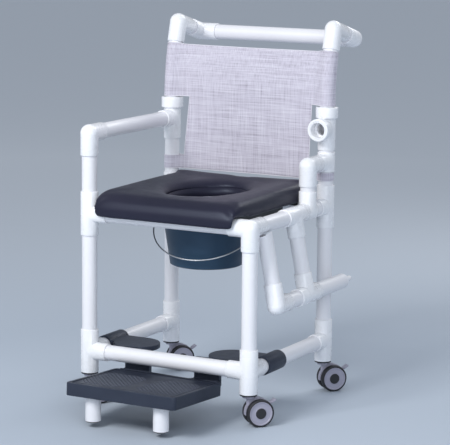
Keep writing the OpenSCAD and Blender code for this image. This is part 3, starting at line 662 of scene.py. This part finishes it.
TRAY_Y = -0.4775
TRAY_Z = 0.122
TRAY_TILT = math.radians(3.2)
DECK = -0.0016  # the tray's floor, from its rim
DIAMOND_RINGS = ((0.0056, DECK - 0.0003), (0.0048, DECK + 0.0009), (0.0034, DECK + 0.0015))
DIAMOND_POINTS = ((1, 0), (0, 1), (-1, 0), (0, -1))
DIAMOND_ASPECT = 0.62
DIAMOND_PITCH = 0.0136
ROW_SPACING = 0.56  # from row to row, in pitches
ROWS_EACH_WAY = 14
COLS_EACH_WAY = 7
FOOT_MID_X = 0.083
FOOT_MID_Y = 0.114
FOOT_HALF_X = 0.068
FOOT_HALF_Y = 0.078
CORNER_POWER = 5  # how square the foot areas are
FITTINGS = (
    "base_corner_fittings", "base_rear_tees", "seat_left_fitting", "seat_right_corner",
    "seat_rear_tees", "left_arm_elbow", "left_arm_tee", "arm_socket_tee", "collars",
    "brace_tees", "brace_elbow", "handle_elbows", "drop_arm_pivot_tee", "drop_arm_lower_tee",
    "drop_arm_elbow",
)


def on_tray(x, y, z):
    """A point on the sloping tray: y back from its front edge, z above its rim."""
    c = math.cos(TRAY_TILT)
    d = math.sin(TRAY_TILT)
    return at(x, TRAY_Y + y * c + z * d, TRAY_Z - y * d + z * c)


def diamond(verts, faces, cx, cy):
    """Adds one raised diamond of three rings and a flat top."""
    k = len(verts)
    for r, z in DIAMOND_RINGS:
        for u, v in DIAMOND_POINTS:
            verts.append(on_tray(cx + r * u, cy + DIAMOND_ASPECT * r * v, z))
    for j in range(4):
        n = (j + 1) % 4
        faces.append((k + j, k + n, k + 4 + n, k + 4 + j))
        faces.append((k + 4 + j, k + 4 + n, k + 8 + n, k + 8 + j))
    faces.append((k + 8, k + 9, k + 10, k + 11))


def tread():
    """Two foot areas of low raised diamonds in staggered rows, drawn lighter than the tray as painted
    highlight.
    """
    verts = []
    faces = []
    for side in (-1, 1):
        for row in range(-ROWS_EACH_WAY, ROWS_EACH_WAY + 1):
            for col in range(-COLS_EACH_WAY, COLS_EACH_WAY + 1):
                dx = (col + 0.5 * (row % 2)) * DIAMOND_PITCH
                dy = row * DIAMOND_PITCH * ROW_SPACING
                out_x = (abs(dx) / FOOT_HALF_X) ** CORNER_POWER
                out_y = (abs(dy) / FOOT_HALF_Y) ** CORNER_POWER
                if out_x + out_y <= 1:
                    diamond(verts, faces, side * FOOT_MID_X + dx, FOOT_MID_Y + dy)
    new_piece("tray_tread", verts, faces, TREAD_PAINTED_HIGHLIGHT, "footrest", smooth=False)


def soft_edges(name, width, angle):
    """Rounds a solid's sharp edges without touching its mesh."""
    obj = nodes[name]
    weld = obj.modifiers.new("weld", "WELD")
    weld.merge_threshold = 0.00002
    bevel = obj.modifiers.new("round", "BEVEL")
    bevel.width = width
    bevel.segments = 3
    bevel.limit_method = "ANGLE"
    bevel.angle_limit = math.radians(angle)
    bevel.use_clamp_overlap = False
    bevel.harden_normals = True


tread()
soft_edges("footrest", 0.0022, 40.0)
for name in FITTINGS:
    soft_edges(name, 0.0007, 60.0)


# Floor, light and camera

FLOOR_HALF = 40
PHOTO_WIDTH_PX = 450.0
FOCAL_PX = 2110.518
SENSOR_MM = 36.0
CAMERA_AZIMUTH = 0.496635
CAMERA_ELEVATION = 0.167499
CAMERA_ROLL = 0.0091533
CAMERA_DISTANCE = 5.851506
CAMERA_RIGHT = 0.044478
CAMERA_DOWN = 0.0040935
CAMERA_TARGET = (0, 0, 0.5)


def floor():
    """A plain pale floor, darker near the chair so that its white pipes stand out, and painted lighter
    with distance to stand in for lamp light that falls off.
    """
    h = FLOOR_HALF
    mesh = bpy.data.meshes.new("floor")
    mesh.from_pydata([(-h, -h, 0), (h, -h, 0), (h, h, 0), (-h, h, 0)], [], [(0, 1, 2, 3)])
    obj = add_object("floor", mesh)
    m = Mat("floor", (0.52, 0.57, 0.64), 0.8)
    away = m.n("ShaderNodeVectorMath", operation="LENGTH")
    m.link(m.coord, away.inputs[0])
    # Painted light: the floor's colour grows lighter with distance, making up for the lamps' falloff.
    far = m.math("MULTIPLY", away.outputs["Value"], 0.1)
    m.base(m.ramp(far, (0.1, (0.47, 0.53, 0.61)), (0.5, (0.84, 0.88, 0.93))))
    dress(obj, m.m)


def area(name, loc, target, size, power, color=(1, 1, 1)):
    """A square area lamp that faces a target."""
    light = bpy.data.lights.new(name, "AREA")
    light.energy = power
    light.size = size
    light.color = color
    obj = add_object(name, light)
    obj.location = loc
    obj.rotation_euler = (Vector(target) - Vector(loc)).to_track_quat("-Z", "Y").to_euler()


def sky():
    """Even, slightly blue light from all round."""
    world = bpy.data.worlds.new("world")
    world.use_nodes = True
    background = world.node_tree.nodes["Background"]
    background.inputs["Color"].default_value = (0.80, 0.88, 1.0, 1)
    background.inputs["Strength"].default_value = 0.42
    scene.world = world


def camera():
    """The photograph's camera: azimuth, elevation, roll, distance and lens from the fitted posts."""
    az = CAMERA_AZIMUTH
    el = CAMERA_ELEVATION
    back = Vector((math.sin(az) * math.cos(el), -math.cos(az) * math.cos(el), math.sin(el)))
    right = Vector((math.cos(az), math.sin(az), 0.0))
    up = back.cross(right)
    r = math.cos(CAMERA_ROLL) * right + math.sin(CAMERA_ROLL) * up
    u = -math.sin(CAMERA_ROLL) * right + math.cos(CAMERA_ROLL) * up
    loc = at(*CAMERA_TARGET) + back * CAMERA_DISTANCE + r * CAMERA_RIGHT - u * CAMERA_DOWN
    data = bpy.data.cameras.new("camera")
    data.sensor_fit = "HORIZONTAL"
    data.sensor_width = SENSOR_MM
    data.lens = SENSOR_MM * FOCAL_PX / PHOTO_WIDTH_PX
    data.clip_end = 50.0
    obj = add_object("camera", data)
    obj.matrix_world = Matrix.Translation(loc) @ Matrix((r, u, back)).transposed().to_4x4()
    scene.camera = obj


floor()
area("key", (-0.6, -3.0, 2.8), (0, 0, 0.6), 1.3, 92.0)
area("fill", (1.9, -2.8, 1.7), (0, 0, 0.5), 2.0, 38.0, (0.90, 0.95, 1.0))
area("back", (0.6, 2.4, 2.6), (0, 0, 0.7), 1.6, 30.0)
sky()
scene.view_settings.view_transform = "Standard"
camera()
